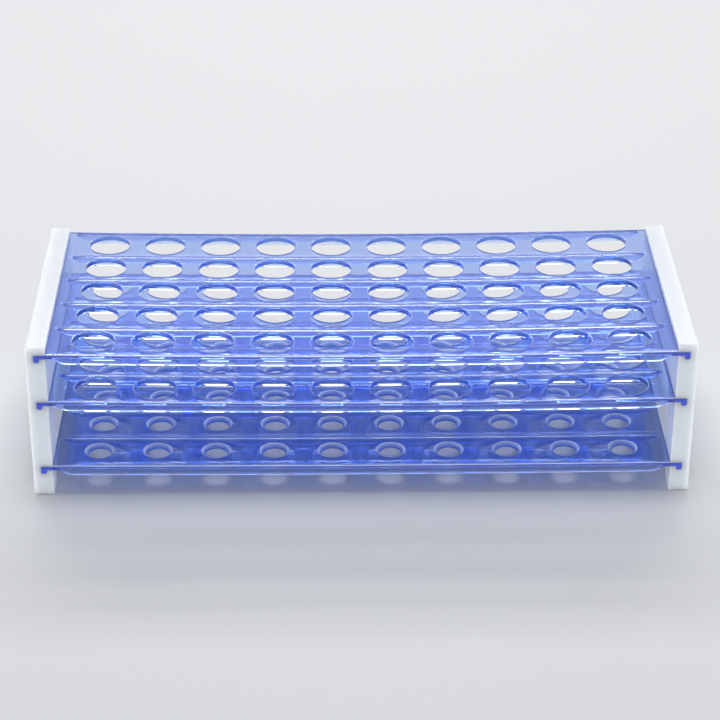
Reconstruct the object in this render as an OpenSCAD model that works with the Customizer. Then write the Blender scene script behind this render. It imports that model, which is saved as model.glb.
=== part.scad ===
// Three-tier tube rack: two white end plates and three clear perforated shelves that slide into their grooves.
// Millimetres, +Z up, origin at the middle of the footprint on the bench, long side along X, front towards -Y.

/* [Layout] */
// Tube places along the rack
columns = 10; // [2:1:12]
// Tube places across the rack
rows = 5; // [2:1:7]
// Centre to centre of neighbouring places along the rack
column_pitch = 22; // [17:0.5:40]
// Centre to centre of neighbouring places across the rack
row_pitch = 20.2; // [18.6:0.1:40]
// Centre of an outer place to the inner face of an end plate
end_margin = 16.7; // [9:0.1:40]
// Centre of an outer place to the long edge of a shelf
edge_margin = 11.1; // [10.4:0.1:30]

/* [Levels] */
// Bench to the top of the bottom shelf
bottom_level = 12.7; // [10.6:0.1:22]
// Bench to the top of the middle shelf
middle_level = 40.4; // [27:0.1:54]
// Bench to the top of the top shelf
top_level = 60; // [46:0.1:90]
// Height of the end plates above the top shelf
plate_rise = 2.5; // [2.5:0.1:10]

/* [Shelves] */
// Thickness of the perforated sheet
sheet_t = 1.8; // [1.4:0.1:2.6]
// Depth of the ribs below the sheet
rib_depth = 2.2; // [1:0.1:4.5]
// Thickness of a rib
rib_t = 2; // [1:0.1:2.8]
// Radius of the sweep that lifts each rib's lower edge to the sheet
rib_sweep_r = 8; // [4.5:0.5:16]
// Gap between the end of a rib and the end plate
rib_end_gap = 2.5; // [0.5:0.1:6]
// Diameter of a tube hole in the top and middle shelves
tube_hole_d = 15.7; // [6:0.1:16.6]
// Chamfer round the top of a tube hole
tube_hole_chamfer = 0.4; // [0.1:0.1:0.8]
// Diameter of a tip hole through the bottom shelf
tip_hole_d = 8.3; // [3:0.1:12]
// Radial width of the countersink round a tip hole
tip_hole_chamfer = 1.25; // [0.2:0.05:1.7]

/* [Tongues and grooves] */
// Step down from the top of a shelf to the top of its tongue
tongue_step = 0.6; // [0.2:0.1:0.9]
// Reach of a tongue into the end plate
tongue_reach = 4.3; // [3:0.1:5.2]
// Thickness of the hook under a tongue
hook_t = 1.9; // [1.5:0.1:2.4]
// Top of a shelf to the tip of its hook
hook_drop = 3.4; // [2.8:0.1:4.4]
// Rounding of the tip of the hook
hook_tip_r = 0.7; // [0.1:0.1:0.9]
// Clearance round tongue and hook in the groove
groove_clearance = 0.1; // [0.05:0.01:0.3]

/* [End plates] */
// Thickness of an end plate
plate_t = 7.6; // [6.2:0.1:14]
// Rounding of the edges round an outer face
outer_edge_r = 2; // [0.5:0.1:2.8]
// Rounding of the upper corners, seen from the end
top_corner_r = 2; // [0.5:0.1:2.5]
// Rounding of the lower corners, seen from the end
low_corner_r = 1; // [0.5:0.1:3]
// Length of a foot along the end plate
foot_l = 9.5; // [7:0.5:20]
// Rounding of a foot's corner under the arch
foot_r = 3; // [0.5:0.1:3.6]
// Height of the arch between the feet
arch_h = 6; // [5.5:0.1:9]
// Rounding in the upper corners of the arch
arch_r = 2; // [0.5:0.1:2.4]
// Wall between the window and the front or back edge
window_side = 16.4; // [8:0.1:26]
// Web between the bottom groove and the window
window_sill = 1.5; // [1:0.1:6]
// Web between the window and the middle groove
window_head = 1; // [0.8:0.1:4]
// Rounding of the window's corners
window_r = 3; // [0.5:0.1:4]

/* [Hidden] */
$fn = 64;
over = 1;
white = [0.93, 0.945, 0.955];
clear_blue = [0.16, 0.27, 0.82, 0.55];
inner_x = (columns - 1) * column_pitch / 2 + end_margin;
depth = (rows - 1) * row_pitch + 2 * edge_margin;
plate_h = top_level + plate_rise;
rib_bottom = -sheet_t - rib_depth;
rib_end_x = inner_x - rib_end_gap;
sweep_run = sqrt(rib_sweep_r * rib_sweep_r - (rib_sweep_r - rib_depth) * (rib_sweep_r - rib_depth));
sweep_x = rib_end_x - sweep_run;
arch_half = depth / 2 - foot_l;
window_low = bottom_level - tongue_step + groove_clearance + window_sill;
window_high = middle_level - hook_drop - groove_clearance - window_head;

// Rectangle from the origin with all four corners rounded
module rounded(w, h, r) {
  union() {
    translate([r, 0]) square([w - 2 * r, h]);
    translate([0, r]) square([w, h - 2 * r]);
    for (x = [r, w - r], y = [r, h - r]) translate([x, y]) circle(r = r);
  }
}

// Rectangle from the origin with the two corners at its far side rounded
module far_rounded(w, h, r) {
  union() {
    square([w - r, h]);
    translate([0, r]) square([w, h - 2 * r]);
    for (y = [r, h - r]) translate([w - r, y]) circle(r = r);
  }
}

// What a rounding of radius r leaves of the square corner at the origin
module corner(r) {
  difference() {
    translate([-over, -over]) square([r + over, r + over]);
    translate([r, r]) circle(r = r);
  }
}

// A flat drawing of X and Z, carried along the whole depth of the rack
module along_depth() {
  translate([0, depth / 2, 0]) rotate([90, 0, 0]) linear_extrude(height = depth) children();
}

// ---- shelves: drawn with their top face at zero

// Half of the end view, from the middle of the shelf to the tip of its tongue
module half_sheet() {
  union() {
    translate([0, -sheet_t]) square([inner_x, sheet_t]);
    translate([inner_x - over, -sheet_t]) square([tongue_reach - hook_t / 2 + over, sheet_t - tongue_step]);
    translate([inner_x + tongue_reach - hook_t, -hook_drop]) hook(0);
  }
}

// The hook and the end of the tongue above it, grown by a gap on every side
module hook(gap) {
  w = hook_t + 2 * gap;
  h = hook_drop - tongue_step + 2 * gap;
  r = hook_tip_r + gap;
  translate([-gap, -gap]) union() {
    translate([0, r]) square([w, h - r]);
    translate([r, 0]) square([w - 2 * r, r]);
    for (x = [r, w - r]) translate([x, r]) circle(r = r);
  }
}

// Side view of a rib, its lower edge swept up to the sheet at both ends
module rib_side() {
  intersection() {
    union() {
      translate([-sweep_x, rib_bottom]) square([2 * sweep_x, rib_depth + sheet_t / 2]);
      for (x = [-sweep_x, sweep_x]) translate([x, rib_bottom + rib_sweep_r]) circle(r = rib_sweep_r);
    }
    translate([-rib_end_x, rib_bottom]) square([2 * rib_end_x, rib_depth + sheet_t / 2]);
  }
}

module rib(y) {
  translate([0, y + rib_t / 2, 0]) rotate([90, 0, 0]) linear_extrude(height = rib_t) rib_side();
}

module blank_shelf() {
  union() {
    along_depth() union() {
      half_sheet();
      mirror([1, 0]) half_sheet();
    }
    for (side = [-1, 1]) rib(side * (depth - rib_t) / 2);
    for (i = [1 : rows - 1]) rib((i - rows / 2) * row_pitch);
  }
}

// A hole through the sheet at every place, with a chamfer round its top
module place_holes(d, chamfer) {
  for (i = [0 : columns - 1], j = [0 : rows - 1])
    translate([(i - (columns - 1) / 2) * column_pitch, (j - (rows - 1) / 2) * row_pitch, 0]) {
      translate([0, 0, -sheet_t - over]) cylinder(d = d, h = sheet_t + 2 * over);
      translate([0, 0, -chamfer]) cylinder(d1 = d, d2 = d + 4 * chamfer, h = 2 * chamfer);
    }
}

module tube_shelf() {
  color(clear_blue) difference() {
    blank_shelf();
    place_holes(tube_hole_d, tube_hole_chamfer);
  }
}

module top_shelf() {
  translate([0, 0, top_level]) tube_shelf();
}

module middle_shelf() {
  translate([0, 0, middle_level]) tube_shelf();
}

module bottom_shelf() {
  translate([0, 0, bottom_level]) color(clear_blue) difference() {
    blank_shelf();
    place_holes(tip_hole_d, tip_hole_chamfer);
  }
}

// ---- end plates: drawn with the inner face at zero and the outer face towards +X

// End view of the plate, Y to the right and Z up
module plate_end_view() {
  difference() {
    translate([-depth / 2, 0]) square([depth, plate_h]);
    for (side = [0, 1]) mirror([side, 0]) {
      translate([-depth / 2, 0]) corner(low_corner_r);
      translate([-depth / 2, plate_h]) mirror([0, 1]) corner(top_corner_r);
      translate([-arch_half - foot_r, 0]) foot_corner();
    }
    arch();
    translate([window_side - depth / 2, window_low])
      rounded(depth - 2 * window_side, window_high - window_low, window_r);
  }
}

// What the rounding takes off the front foot's corner under the arch
module foot_corner() {
  difference() {
    translate([0, -over]) square([foot_r + over, foot_r + over]);
    translate([0, foot_r]) circle(r = foot_r);
  }
}

// The space between the feet
module arch() {
  union() {
    translate([-arch_half, -over]) square([2 * arch_half, arch_h - arch_r + over]);
    translate([arch_r - arch_half, -over]) square([2 * (arch_half - arch_r), arch_h + over]);
    for (side = [-1, 1]) translate([side * (arch_half - arch_r), arch_h - arch_r]) circle(r = arch_r);
  }
}

// Front view of one groove, below the top of its shelf
module groove() {
  union() {
    translate([-over, -sheet_t])
      square([over + tongue_reach - hook_t / 2, sheet_t - tongue_step + groove_clearance]);
    translate([tongue_reach - hook_t, -hook_drop]) hook(groove_clearance);
  }
}

module end_plate() {
  color(white) difference() {
    intersection() {
      rotate([90, 0, 90]) linear_extrude(height = plate_t) plate_end_view();
      along_depth() far_rounded(plate_t, plate_h, outer_edge_r);
      translate([0, -depth / 2, 0]) linear_extrude(height = plate_h) far_rounded(plate_t, depth, outer_edge_r);
    }
    for (level = [bottom_level, middle_level, top_level])
      translate([0, 0, level]) groove_cut();
  }
}

// A groove right through the plate from front to back, past both faces
module groove_cut() {
  translate([0, depth / 2 + over, 0]) rotate([90, 0, 0]) linear_extrude(height = depth + 2 * over) groove();
}

module right_end_plate() {
  translate([inner_x, 0, 0]) end_plate();
}

module left_end_plate() {
  rotate([0, 0, 180]) right_end_plate();
}

left_end_plate();
right_end_plate();
top_shelf();
middle_shelf();
bottom_shelf();
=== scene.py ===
import math

import bmesh
import bpy
import numpy as np
from mathutils import Matrix, Vector


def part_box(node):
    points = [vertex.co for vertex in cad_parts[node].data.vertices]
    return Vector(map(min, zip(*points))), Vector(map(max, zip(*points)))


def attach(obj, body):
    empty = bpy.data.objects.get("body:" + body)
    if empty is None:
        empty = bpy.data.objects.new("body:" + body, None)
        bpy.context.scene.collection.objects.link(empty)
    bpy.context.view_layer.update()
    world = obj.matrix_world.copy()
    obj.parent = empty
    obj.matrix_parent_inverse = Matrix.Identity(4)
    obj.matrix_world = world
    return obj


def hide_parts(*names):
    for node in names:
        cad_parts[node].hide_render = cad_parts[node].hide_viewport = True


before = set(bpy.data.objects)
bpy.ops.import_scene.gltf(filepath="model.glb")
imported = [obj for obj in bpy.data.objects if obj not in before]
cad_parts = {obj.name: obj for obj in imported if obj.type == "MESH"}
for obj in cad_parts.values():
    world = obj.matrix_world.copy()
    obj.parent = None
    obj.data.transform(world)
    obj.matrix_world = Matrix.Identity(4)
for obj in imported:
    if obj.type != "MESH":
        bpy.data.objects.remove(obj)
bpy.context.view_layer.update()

# Three-tier tube rack: two white end plates and three clear blue shelves. Each CAD node is replaced by a
# moulding of the same size with softened edges, and the shelves sag a little, as the photo's do.

MM = 0.001
scene = bpy.context.scene

# ---- sizes in millimetres; a shelf is drawn with its top face at zero

HAIR = 0.03                  # air between mouldings, so that no two faces coincide
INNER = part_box("right_end_plate")[0].x / MM - HAIR  # inner face of an end plate
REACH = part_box("top_shelf")[1].x / MM               # end of a tongue
HALF_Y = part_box("top_shelf")[1].y / MM              # long edge of a shelf
COLS, ROWS = 10, 5
PITCH_X, PITCH_Y = 22.0, 20.2      # centre to centre of the holes
SHEET = 1.8                  # thickness of the perforated sheet
RIB_LOW = 4.0                # top face down to a rib's lower edge
RIB_HALF = 1.0               # half a rib's thickness
RIB_GAP = 2.5                # end of a rib to the end plate
SWEEP_R = 8.0                # sweep that lifts a rib's lower edge to the sheet at its ends
STEP = 0.6                   # top face down to the top of a tongue
HOOK_T = 1.9                 # thickness of the hook under a tongue
HOOK_DROP = 3.4              # top face down to the tip of a hook
HOOK_R = 0.7                 # rounding of that tip
TONGUE_BEVEL = 0.15          # bevel at the upper end of a tongue
TUBE_R, TUBE_RIM = 7.85, 0.4       # tube hole and the rounding of its rim
TIP_R, TIP_RIM = 4.15, 1.25        # tip hole and the width of its countersink
SAG = {"top_shelf": 1.35, "middle_shelf": 1.3, "bottom_shelf": 0.5}

# small forms of the mouldings
EDGE = 0.3                   # rounding of a shelf's long top edges
RIB_EDGE = 0.12              # rounding of a rib's lower edges
BAND = 0.3                   # strip of a rib's side above that rounding
FILLET = 0.35                # where a rib meets the sheet
RIDGE = 0.12                 # half the strip along the middle of a rib's lower face
HOLLOW = 0.035               # rise of a rib's lower face from its edges to its middle
HOLLOW_INSET = 0.15          # width of the strip of that face next to its rounded edge
SWELL = 0.055                # faint swell of the top face above a rib
SWELL_OUT, SWELL_IN = 1.7, 1.0     # distance from the rib's middle where the swell starts and is full
HOLE_LOW = 0.16              # rounding of a hole's lower edge
HOLE_RING = 0.25             # flat ring round it on the underside
RIM_RING = 0.1               # flat ring round the rim of a tube hole
PLATE_EDGE = 0.22            # softening of an end plate's edges

# steps of the meshes
SEGMENTS = 64                # round a hole
CELL_STEPS = 8               # along a cell, the piece of sheet that holds one hole
BAY_STEPS = 10               # across a bay, the flat sheet between two ribs
SWEEP_STEPS = 8              # along the sweep at a rib's end
END_LINE = 1.2               # end plate to the first line of points
NEAR = 0.01                  # how close counts as the same place
LEVEL = 0.001                # height up to which a point of the top face counts as flat
SHELF_SHARP, PLATE_SHARP = 40, 180  # edges up to this angle in degrees are shaded smoothly
PLATE_WELD = 2e-6            # points of the CAD plate closer than this, in metres, are joined
PLATE_FACET = 0.4            # its faces that meet at less than this angle in degrees become one
PLATE_BEVEL = 35             # its edges from this angle in degrees on are softened

# where the material paints light on a shelf
RING_IN, RING_OUT = 0.2, 0.13      # painted highlight ring round a hole's upper edge, inside its rim and outside a countersink
RIB_MARKED = 0.5             # depth of a rib from which its lower edges and its fillets get painted highlights

# painted light on the places of a shelf, from 0 to 1: deeper blue of a painted glow, haziness, and
# near-white of a painted highlight
# bore and upright get a painted glow in deeper blue; ring, corner, foot, toe, root and slope get painted
# highlight lines
TUBE_MARKS = {
    "bore": (1.0, 0.4, 0.0),
    "ring": (0.0, 0.3, 0.7),
    "upright": (0.8, 0.3, 0.0),
    "corner": (0.0, 1.0, 1.0),
    "foot": (0.0, 0.0, 1.0),
    "toe": (0.0, 0.1, 0.0),
    "root": (0.0, 0.6, 1.0),
    "slope": (0.0, 0.15, 0.8),
}
# the bottom shelf lies in shade under two shelves, so its highlights are painted stronger
TIP_MARKS = {
    **TUBE_MARKS,
    "bore": (1.0, 0.55, 0.0),
    "ring": (0.0, 0.6, 0.8),
    "toe": (0.0, 1.0, 0.0),
    "slope": (0.0, 0.9, 1.0),
}


def key(values):
    """Coordinates in order, without repeats."""
    return sorted({round(float(v), 4) for v in values})


def within(values, low, high):
    """The values from low to high, both included."""
    return [v for v in values if low - 1e-6 <= v <= high + 1e-6]


def clamped(value):
    """A value held between 0 and 1."""
    return min(max(value, 0), 1)


# ---- where things lie on every shelf

hole_xs = [(c - (COLS - 1) / 2) * PITCH_X for c in range(COLS)]
hole_ys = [(j - (ROWS - 1) / 2) * PITCH_Y for j in range(ROWS)]
rib_ys = [hole_ys[0] - PITCH_Y / 2] + [y + PITCH_Y / 2 for y in hole_ys]
front, back = rib_ys[0], rib_ys[-1]
rib_end = INNER - RIB_GAP
rib_tip = round(rib_end, 4)
rib_depth = RIB_LOW - SHEET
run = math.sqrt(2 * SWEEP_R * rib_depth - rib_depth * rib_depth)
bay = PITCH_Y / 2 - SWELL_OUT
under_bay = PITCH_Y / 2 - RIB_HALF - FILLET
cell_ends = key([hole_xs[0] - PITCH_X / 2, hole_xs[-1] + PITCH_X / 2])

# lines of points that all faces share, so that they meet without gaps
turns = np.linspace(0, math.asin(run / SWEEP_R), SWEEP_STEPS + 1)
sweep = [rib_end - run + SWEEP_R * math.sin(a) for a in turns]
ends = [INNER, INNER - END_LINE] + sweep
cells = [x + PITCH_X * (k / CELL_STEPS - 0.5) for x in hole_xs for k in range(CELL_STEPS + 1)]
grid_xs = key(cells + ends + [-x for x in ends])
bays = [y + bay * (2 * k / BAY_STEPS - 1) for y in hole_ys for k in range(BAY_STEPS + 1)]
offsets = [s * w for s in (-1, 1) for w in (RIDGE, RIB_HALF, RIB_HALF + FILLET, SWELL_OUT)]
by_ribs = [y + w for y in rib_ys for w in offsets if abs(y + w) < HALF_Y + NEAR]
grid_ys = key(bays + rib_ys + by_ribs)


def rib_low(x):
    """Height of the ribs' lower edge at x."""
    past = abs(x) - (rib_end - run)
    if past <= 1e-6:
        return -RIB_LOW
    if abs(x) >= rib_tip - 1e-6:
        return -SHEET
    return min(-RIB_LOW + SWEEP_R - math.sqrt(max(SWEEP_R ** 2 - past ** 2, 0)), -SHEET)


# ---- pieces of surface, as lists of four-cornered faces; a triangle has its last corner twice

def patch(grid):
    """Faces of a grid of points, shape (n, m, 3)."""
    p = np.asarray(grid, float)
    return np.stack([p[:-1, :-1], p[1:, :-1], p[1:, 1:], p[:-1, 1:]], 2).reshape(-1, 4, 3)


def flat(xs, ys, z):
    """A level rectangle on the lines xs and ys."""
    return patch([[(x, y, z) for y in ys] for x in xs])


def fan(points):
    """A convex polygon as triangles round its first point."""
    return [[points[0], points[i], points[i + 1], points[i + 1]] for i in range(1, len(points) - 1)]


def zipper(outer, ring, centre):
    """Triangles between two closed loops round the same centre."""
    def angles(loop):
        a = np.arctan2(loop[:, 1] - centre[1], loop[:, 0] - centre[0])
        return np.unwrap(np.r_[a, a[0]])
    a, b = np.vstack([outer, outer[:1]]), np.vstack([ring, ring[:1]])
    ta, tb = angles(outer), angles(ring)
    tb += 2 * math.pi * round((ta[0] - tb[0]) / (2 * math.pi))
    i = j = 0
    out = []
    while i < len(outer) or j < len(ring):
        if j == len(ring) or (i < len(outer) and ta[i + 1] <= tb[j + 1]):
            out.append([a[i], a[i + 1], b[j], b[j]])
            i += 1
        else:
            out.append([a[i], b[j + 1], b[j], b[j]])
            j += 1
    return out


def arc(centre, radius, start, end, steps):
    """Points of an arc, angles in degrees."""
    t = np.radians(np.linspace(start, end, steps + 1))
    return [(centre[0] + radius * math.cos(a), centre[1] + radius * math.sin(a)) for a in t]


# ---- a shelf

def hole_profile(r, rim, countersunk):
    """(radius, z) from the top face round the rim, down the wall and round the lower edge."""
    if countersunk:
        mouth = [(0.35, 0), (0.12, 0), (0, -0.04), (-0.08, -0.12)]  # softened outer edge of the cone
        throat = [(0.08, 0.08), (0, -0.06)]                         # softened inner edge
        top = [(r + rim + a, b) for a, b in mouth] + [(r + a, -rim + b) for a, b in throat]
    else:
        top = [(r + rim + RIM_RING, 0)] + arc((r + rim, -rim), rim, 90, 180, 4)
    base = arc((r + HOLE_LOW, HOLE_LOW - SHEET), HOLE_LOW, 180, 270, 2)
    return top + base + [(r + HOLE_LOW + HOLE_RING, -SHEET)]


def cell_outline(x, y, half, z):
    """Outline of the sheet round the hole at x and y, counter-clockwise from its first corner."""
    gx = within(grid_xs, x - PITCH_X / 2, x + PITCH_X / 2)
    gy = within(grid_ys, y - half, y + half)
    loop = [(x, gy[0]) for x in gx[:-1]] + [(gx[-1], y) for y in gy[:-1]]
    loop += [(x, gy[-1]) for x in gx[:0:-1]] + [(gx[0], y) for y in gy[:0:-1]]
    return np.array([(x, y, z) for x, y in loop])


def hole_faces(r, rim, countersunk):
    """Every hole from rim to lower edge, with the sheet round it above and below."""
    turn = np.radians(-135 + 360 * np.arange(SEGMENTS) / SEGMENTS)  # starts towards the first corner
    unit = np.stack([np.cos(turn), np.sin(turn)], 1)
    profile = hole_profile(r, rim, countersunk)
    faces = []
    for x in hole_xs:
        for y in hole_ys:
            rings = [np.column_stack([x + q * unit[:, 0], y + q * unit[:, 1], np.full(SEGMENTS, z)])
                     for q, z in profile]
            faces += zipper(cell_outline(x, y, bay, 0.0), rings[0], (x, y))
            faces += list(patch([np.vstack([ring, ring[:1]]) for ring in rings]))
            faces += zipper(cell_outline(x, y, under_bay, -SHEET), rings[-1], (x, y))
    return faces


def sheet_faces():
    """The sheet beyond the cells, and the strips of its top face above the ribs with their faint swell."""
    faces = []
    for a, b in ((-INNER, cell_ends[0]), (cell_ends[1], INNER)):
        ribbed = within(grid_xs, max(a, -rib_tip), min(b, rib_tip))
        for y in hole_ys:
            faces += list(flat(within(grid_xs, a, b), within(grid_ys, y - bay, y + bay), 0.0))
            faces += list(flat(ribbed, within(grid_ys, y - under_bay, y + under_bay), -SHEET))
    for y in rib_ys:
        rows = within(within(grid_ys, front, back), y - SWELL_OUT, y + SWELL_OUT)
        full = 0.0 if y in (front, back) else SWELL
        rise = {v: full * clamped((SWELL_OUT - abs(v - y)) / (SWELL_OUT - SWELL_IN)) for v in rows}
        faces += list(patch([[(x, v, rise[v] * clamped((rib_tip - abs(x)) / run)) for v in rows]
                             for x in grid_xs]))
    for a, b in ((-INNER, -rib_tip), (rib_tip, INNER)):
        faces += list(flat(within(grid_xs, a, b), grid_ys, -SHEET))
    return faces


def long_edge_faces(turned):
    """The two long edges, from the rounded top edge to the underside of the sheet."""
    faces = []
    for s in (-1, 1):
        wall = [(s * y, z) for y, z in [(back, 0.0)] + turned + [(HALF_Y, -STEP), (HALF_Y, -SHEET)]]
        faces += list(patch([[(x, y, z) for y, z in wall] for x in grid_xs]))
    return faces


def rib_flank(z, outside):
    """Half of a rib's section down to its lower face at z: fillet, side, rounded edge and hollow."""
    tall = -SHEET - z
    edge = min(RIB_EDGE, tall / 3)
    fillet = 0 if outside else min(FILLET, tall / 2)
    inset = min(HOLLOW_INSET, tall / 3)
    ridge_rise = min(HOLLOW, tall / 3) * (1 - RIDGE / RIB_HALF)
    slope = ridge_rise / (RIB_HALF - edge - RIDGE)
    root = []
    if not outside:
        root = [(RIB_HALF + FILLET, -SHEET)] + arc((RIB_HALF + fillet, -SHEET - fillet), fillet, 90, 180, 4)
    side = [(RIB_HALF, -SHEET - fillet), (RIB_HALF, z + edge + min(BAND, tall / 6))]
    turned = arc((RIB_HALF - edge, z + edge), edge, 0, -90, 3)
    hollow = [(RIB_HALF - edge - inset, z + inset * slope), (RIDGE, z + ridge_rise)]
    return root + side + turned + hollow


def rib_faces():
    faces = []
    for y in rib_ys:
        sections = []
        for x in within(grid_xs, -rib_tip, rib_tip):
            z = rib_low(x)
            left = [(x, y - h, q) for h, q in rib_flank(z, y == front)]
            middle = (x, y, z + min(HOLLOW, (-SHEET - z) / 3))
            right = [(x, y + h, q) for h, q in rib_flank(z, y == back)]
            sections.append(left + [middle] + right[::-1])
        faces += list(patch(sections))
    return faces


def tongue_faces(turned):
    """The tongues with their hooks, and the small step from the top face down to each tongue."""
    hook_in = REACH - HOOK_T
    low = -HOOK_DROP
    line = [(INNER, -STEP), (hook_in, -STEP), (REACH - TONGUE_BEVEL, -STEP), (REACH, -STEP - TONGUE_BEVEL)]
    line += arc((REACH - HOOK_R, low + HOOK_R), HOOK_R, 0, -90, 4)
    line += arc((hook_in + HOOK_R, low + HOOK_R), HOOK_R, -90, -180, 4)
    line += [(hook_in, -SHEET), (INNER, -SHEET)]
    foot_line = [(y, -STEP) for y in within(grid_ys, back, HALF_Y)[::-1]]
    step_ys = within(grid_ys, front, back)
    faces = []
    for s in (-1, 1):
        faces += list(patch([[(s * x, y, z) for y in grid_ys] for x, z in line]))
        faces += list(patch([[(s * INNER, y, z) for y in step_ys] for z in (0.0, -STEP)]))
        for t in (-1, 1):
            faces += fan([(s * INNER, t * y, z) for y, z in [(back, 0.0)] + turned + foot_line])
            cap = [(s * x, t * HALF_Y, z) for x, z in line]
            faces += fan([cap[-2]] + cap[1:-2])
            faces.append([cap[0], cap[1], cap[-2], cap[-1]])
    return faces


def nearest(values, places):
    return np.abs(values[:, None] - places).min(axis=1)


def marks(points, r, rim, countersunk):
    """What the material reads at each point, from 0 to 1: deeper blue of a painted glow, haziness, and
    near-white of a painted highlight.
    """
    x, y, z = points.T
    low = np.array([rib_low(v) for v in x])
    hole = np.hypot(nearest(x, hole_xs), nearest(y, hole_ys)) - r
    off_rib = nearest(y, rib_ys)
    off_middle = np.abs(y)
    ribbed = low < -SHEET - RIB_MARKED
    on_rib = (off_rib < RIB_HALF + NEAR) & ribbed
    ring_out = RING_OUT if countersunk else NEAR / 2
    # places where light is painted: a glow on walls and edges, highlight lines on rims, edges and ribs
    places = {
        # a hole's wall, or cone and wall
        "bore": hole < rim + NEAR / 2,
        # round its upper edge
        "ring": (hole > rim - RING_IN) & (hole < rim + ring_out) & (z > -RING_IN),
        # the long edges' upright faces and their rounded top edges
        "upright": (off_middle > HALF_Y - NEAR) & (z > -SHEET + NEAR),
        "corner": (off_middle > HALF_Y - EDGE + NEAR) & (off_middle < HALF_Y - NEAR) & (z > -STEP),
        # the lower part of a rib, and its rounded lower edges alone
        "foot": on_rib & (off_rib > RIDGE + NEAR) & (z < low + RIB_EDGE + BAND + 2 * NEAR),
        "toe": on_rib & (off_rib > RIB_HALF - RIB_EDGE - NEAR) & (z < low + RIB_EDGE + 2 * NEAR),
        # the fillet where a rib meets the sheet
        "root": ribbed & (off_rib > RIB_HALF + NEAR) & (off_rib < RIB_HALF + FILLET - NEAR)
                & (z < -SHEET - NEAR),
        # half-way up the swell above a rib
        "slope": (np.abs(off_rib - RIB_HALF - FILLET) < NEAR) & (z > LEVEL),
    }
    shares = TIP_MARKS if countersunk else TUBE_MARKS
    painted_glow, painted_light_haze, painted_highlight = np.maximum.reduce([np.outer(shares[k], places[k]) for k in places])
    return {"painted_glow": painted_glow, "painted_light_haze": painted_light_haze, "painted_highlight": painted_highlight}


def finished(name, mesh, sharp_angle, weld=False):
    """Turns the mesh's faces outward and shades it smoothly, then puts it in the scene."""
    bm = bmesh.new()
    bm.from_mesh(mesh)
    if weld:
        bmesh.ops.remove_doubles(bm, verts=bm.verts, dist=PLATE_WELD)
        facet = math.radians(PLATE_FACET)
        bmesh.ops.dissolve_limit(bm, angle_limit=facet, verts=bm.verts, edges=bm.edges)
    bmesh.ops.recalc_face_normals(bm, faces=bm.faces)
    for f in bm.faces:
        f.smooth = True
    bm.to_mesh(mesh)
    bm.free()
    mesh.set_sharp_from_angle(angle=math.radians(sharp_angle))
    obj = bpy.data.objects.new(name, mesh)
    scene.collection.objects.link(obj)
    return obj


def flatten(obj, keep_sharp):
    """Keeps the shading of flat faces flat up to their rounded edges."""
    modifier = obj.modifiers.new("flat_faces", "WEIGHTED_NORMAL")
    modifier.weight = 100
    modifier.keep_sharp = keep_sharp


def shelf_object(node, level, r, rim):
    """A shelf as one closed mesh: sheet, holes, swept ribs, tongues and hooks."""
    name = node + "_moulding"
    countersunk = node == "bottom_shelf"
    turned = arc((HALF_Y - EDGE, -EDGE), EDGE, 90, 0, 3)
    quads = (hole_faces(r, rim, countersunk) + sheet_faces() + long_edge_faces(turned)
             + rib_faces() + tongue_faces(turned))
    corners = np.asarray(quads, float).reshape(-1, 3)
    points, index = np.unique(np.round(corners, 3), axis=0, return_inverse=True)
    faces = []
    for quad in index.reshape(-1, 4):
        ring = [int(v) for k, v in enumerate(quad) if v != quad[k - 1]]
        if len(ring) > 2 and len(set(ring)) == len(ring):
            faces.append(ring)
    # the bow of an evenly loaded beam held at both ends
    t = np.clip(np.abs(points[:, 0]) / INNER, 0, 1)
    bow = (1 - t ** 2) * (1 - t ** 2 / 5)
    z = points[:, 2] - SAG[node] * bow + HAIR + level
    mesh = bpy.data.meshes.new(name)
    mesh.from_pydata((np.column_stack([points[:, 0], points[:, 1], z]) * MM).tolist(), [], faces)
    # the painted glow, haziness and painted highlights go on the points for the material to read
    for mark, value in marks(points, r, rim, countersunk).items():
        mesh.attributes.new(mark, "FLOAT", "POINT").data.foreach_set("value", value.astype(np.float32))
    obj = finished(name, mesh, SHELF_SHARP)
    flatten(obj, True)
    return obj


# ---- an end plate

def plate_object(node):
    """The CAD plate with every moulded edge softened."""
    obj = finished(node + "_moulding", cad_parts[node].data.copy(), PLATE_SHARP, weld=True)
    bevel = obj.modifiers.new("soft_edges", "BEVEL")
    bevel.width = PLATE_EDGE * MM
    bevel.segments = 3
    bevel.limit_method = "ANGLE"
    bevel.angle_limit = math.radians(PLATE_BEVEL)
    flatten(obj, False)
    return obj


# ---- materials

def material(name):
    mat = bpy.data.materials.new(name)
    mat.use_nodes = True
    return mat, mat.node_tree, mat.node_tree.nodes["Principled BSDF"]


def plug(tree, socket, value):
    """Links an output to a socket, or sets its value."""
    if isinstance(value, bpy.types.NodeSocket):
        tree.links.new(value, socket)
    else:
        socket.default_value = value


def math_node(tree, operation, *values):
    node = tree.nodes.new("ShaderNodeMath")
    node.operation = operation
    for socket, value in zip(node.inputs, values):
        plug(tree, socket, value)
    return node.outputs["Value"]


def map_node(tree, value, low, high, to_low, to_high):
    node = tree.nodes.new("ShaderNodeMapRange")
    for socket, entry in zip(node.inputs, (value, low, high, to_low, to_high)):
        plug(tree, socket, entry)
    return node.outputs["Result"]


def colour_mix(tree, factor, first, second):
    node = tree.nodes.new("ShaderNodeMix")
    node.data_type = "RGBA"
    # the colour sockets of a Mix node share their names with the others, and are found by number
    for index, entry in ((0, factor), (6, first), (7, second)):
        plug(tree, node.inputs[index], entry)
    return node.outputs[2]


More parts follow.
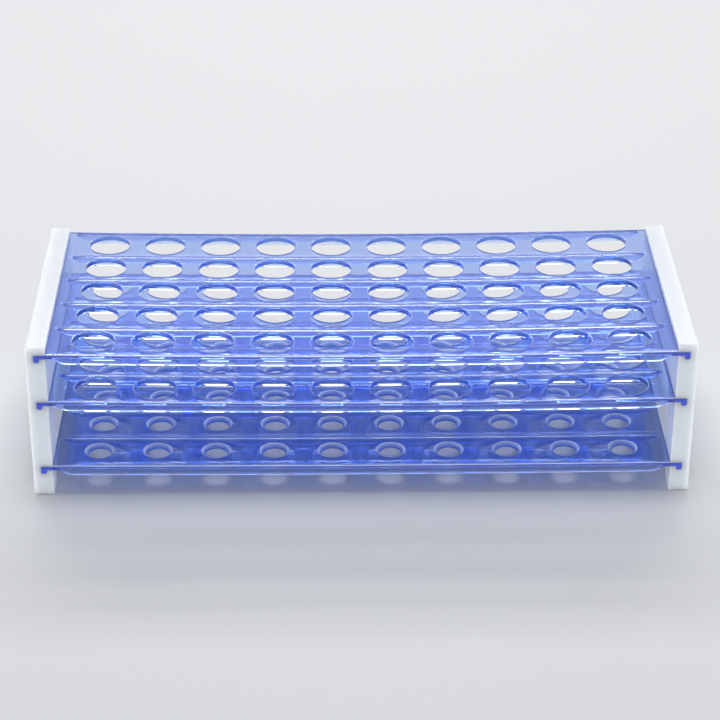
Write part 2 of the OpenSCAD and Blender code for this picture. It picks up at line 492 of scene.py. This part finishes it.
def noise_bump(tree, shader, scale, strength, distance, detail=3.0, stretch=(1, 1, 1)):
    coords = tree.nodes.new("ShaderNodeTexCoord")
    place = tree.nodes.new("ShaderNodeMapping")
    place.inputs["Scale"].default_value = stretch
    noise = tree.nodes.new("ShaderNodeTexNoise")
    noise.inputs["Scale"].default_value = scale
    noise.inputs["Detail"].default_value = detail
    bump = tree.nodes.new("ShaderNodeBump")
    bump.inputs["Strength"].default_value = strength
    bump.inputs["Distance"].default_value = distance
    tree.links.new(coords.outputs["Object"], place.inputs["Vector"])
    tree.links.new(place.outputs["Vector"], noise.inputs["Vector"])
    tree.links.new(noise.outputs["Fac"], bump.inputs["Height"])
    tree.links.new(bump.outputs["Normal"], shader.inputs["Normal"])


def white_plastic():
    """Glossy opaque white with faint clouds of tone."""
    mat, tree, shader = material("white_moulded_plastic")
    shader.inputs["Roughness"].default_value = 0.2
    shader.inputs["IOR"].default_value = 1.5
    shader.inputs["Subsurface Weight"].default_value = 1.0
    shader.inputs["Subsurface Radius"].default_value = (1.0, 0.95, 0.9)
    shader.inputs["Subsurface Scale"].default_value = 0.006
    noise_bump(tree, shader, scale=260, strength=0.12, distance=0.00004, detail=2.0)
    tone = tree.nodes.new("ShaderNodeTexNoise")
    tone.inputs["Scale"].default_value = 35
    tone.inputs["Detail"].default_value = 2
    ramp = tree.nodes.new("ShaderNodeValToRGB")
    ramp.color_ramp.elements[0].color = (0.785, 0.84, 0.875, 1)
    ramp.color_ramp.elements[1].color = (0.825, 0.88, 0.91, 1)
    tree.links.new(tone.outputs["Fac"], ramp.inputs["Fac"])
    tree.links.new(ramp.outputs["Color"], shader.inputs["Base Color"])
    return mat


def blue_plastic():
    """Polished clear blue; the shelf's marks say where a glow is painted in deeper blue, where it is hazy,
    and where highlights are painted near-white.
    """
    mat, tree, shader = material("clear_blue_plastic")
    shader.inputs["Roughness"].default_value = 0.03
    shader.inputs["IOR"].default_value = 1.57
    noise_bump(tree, shader, scale=60, strength=0.05, distance=0.00002, detail=1.0, stretch=(1, 1.6, 1))

    def mark(name):
        node = tree.nodes.new("ShaderNodeAttribute")
        node.attribute_name = name
        return node.outputs["Fac"]

    # the tongues, inside the grooves and at their open ends, are the haziest and deepest in colour: a
    # painted glow of light piped into them
    coords = tree.nodes.new("ShaderNodeTexCoord")
    place = tree.nodes.new("ShaderNodeSeparateXYZ")
    tree.links.new(coords.outputs["Object"], place.inputs["Vector"])
    across = math_node(tree, "ABSOLUTE", place.outputs["X"])
    tongue = map_node(tree, across, (INNER - 0.1) * MM, (INNER + 0.2) * MM, 0.0, 1.0)
    tint = (0.46, 0.60, 1.0, 1)
    # deeper blue painted on hole walls and long edges: a painted glow of light piped through the plastic
    tint = colour_mix(tree, mark("painted_glow"), tint, (0.18, 0.36, 1.0, 1))
    # near-white painted highlight lines on hole rims, top front edges and ribs
    tint = colour_mix(tree, mark("painted_highlight"), tint, (0.82, 0.88, 1.0, 1))
    # deeper saturated blue painted on the tongues for that glow
    tint = colour_mix(tree, tongue, tint, (0.07, 0.14, 0.95, 1))
    # haziness turns the marked places diffuse, so that the painted glow and painted highlights show under
    # the lamps
    painted_light_haze = math_node(tree, "MAXIMUM", mark("painted_light_haze"), math_node(tree, "MULTIPLY", tongue, 0.8))
    tree.links.new(tint, shader.inputs["Base Color"])
    tree.links.new(math_node(tree, "SUBTRACT", 1.0, painted_light_haze), shader.inputs["Transmission Weight"])

    volume = tree.nodes.new("ShaderNodeVolumeAbsorption")
    volume.inputs["Color"].default_value = (0.0, 0.25, 0.98, 1)
    volume.inputs["Density"].default_value = 45
    tree.links.new(volume.outputs["Volume"], tree.nodes["Material Output"].inputs["Volume"])
    return mat


# ---- the five mouldings

white, blue = white_plastic(), blue_plastic()

shelves = {
    "top_shelf": (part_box("top_shelf")[1].z / MM, TUBE_R, TUBE_RIM),
    "middle_shelf": (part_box("middle_shelf")[1].z / MM, TUBE_R, TUBE_RIM),
    "bottom_shelf": (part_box("bottom_shelf")[1].z / MM, TIP_R, TIP_RIM),
}
for node, (level, r, rim) in shelves.items():
    obj = shelf_object(node, level, r, rim)
    obj.data.materials.append(blue)
    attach(obj, "root")
    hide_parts(node)
for node in ("left_end_plate", "right_end_plate"):
    obj = plate_object(node)
    obj.data.materials.clear()
    obj.data.materials.append(white)
    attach(obj, "root")
    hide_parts(node)


# ---- floor, light and camera, in metres

def floor():
    half = 3.0
    mesh = bpy.data.meshes.new("floor")
    corners = [(-half, -half, 0), (half, -half, 0), (half, half, 0), (-half, half, 0)]
    mesh.from_pydata(corners, [], [(0, 1, 2, 3)])
    obj = bpy.data.objects.new("floor", mesh)
    scene.collection.objects.link(obj)
    mat, tree, shader = material("pale_floor")
    shader.inputs["Base Color"].default_value = (0.74, 0.74, 0.74, 1)
    shader.inputs["Roughness"].default_value = 0.6
    noise_bump(tree, shader, scale=400, strength=0.05, distance=0.0001)
    obj.data.materials.append(mat)


def area(name, place, aim, size, power, colour=(0.97, 0.98, 1)):
    """A rectangular lamp at place, turned towards aim."""
    data = bpy.data.lights.new(name, "AREA")
    data.shape = "RECTANGLE"
    data.size, data.size_y = size
    data.energy = power
    data.color = colour
    obj = bpy.data.objects.new(name, data)
    obj.location = place
    obj.rotation_euler = (Vector(aim) - Vector(place)).to_track_quat("-Z", "Y").to_euler()
    obj.visible_camera = False
    scene.collection.objects.link(obj)


def studio():
    """The world lights softly, and shows as a pale backdrop directly, in gloss and through the shelves."""
    world = bpy.data.worlds.new("studio")
    world.use_nodes = True
    tree = world.node_tree
    path = tree.nodes.new("ShaderNodeLightPath").outputs
    seen = math_node(tree, "MAXIMUM", path["Is Camera Ray"], path["Is Glossy Ray"])
    seen = math_node(tree, "MAXIMUM", seen, path["Is Transmission Ray"])
    background = tree.nodes["Background"]
    background.inputs["Color"].default_value = (0.93, 0.95, 1.0, 1)
    tree.links.new(map_node(tree, seen, 0.0, 1.0, 0.4, 0.85), background.inputs["Strength"])
    scene.world = world


def camera(place, pitch, yaw, roll, lens):
    """A camera at place; it looks along +Y before it is turned by the angles, which are in radians."""
    data = bpy.data.cameras.new("camera")
    data.lens = lens
    data.sensor_width = 36
    data.clip_start, data.clip_end = 0.05, 20
    turn = Matrix.Rotation(yaw, 3, "Z") @ Matrix.Rotation(pitch, 3, "X") @ Matrix.Rotation(roll, 3, "Y")
    axes = Matrix((turn.col[0], turn.col[2], -turn.col[1])).transposed()
    obj = bpy.data.objects.new("camera", data)
    obj.matrix_world = Matrix.Translation(place) @ axes.to_4x4()
    scene.collection.objects.link(obj)
    scene.camera = obj


floor()
area("overhead", (0.0, 0.0, 1.0), (0, 0, 0), size=(0.4, 0.25), power=3.3, colour=(0.97, 0.99, 1))
area("back_softbox", (0.0, 0.96, 0.77), (0, 0, 0.04), size=(1.6, 0.17), power=6.8, colour=(1, 1, 1))
for side in (-1, 1):
    aim = (-side * 0.05, 0, 0.03)
    area("side_fill", (side * 2.5, -0.84, 0.13), aim, size=(1.6, 0.25), power=24)
    area("back_side_fill", (side * 2.3, 1.24, 0.13), aim, size=(1.4, 0.25), power=12)
studio()
camera((-0.0143, -0.80438, 0.47124), pitch=-0.50275, yaw=-0.0178, roll=-0.00278, lens=117.61)

# light passes many walls of clear plastic on its way
scene.cycles.max_bounces = 32
scene.cycles.transmission_bounces = 32
scene.cycles.glossy_bounces = 32
scene.view_settings.view_transform = "Standard"
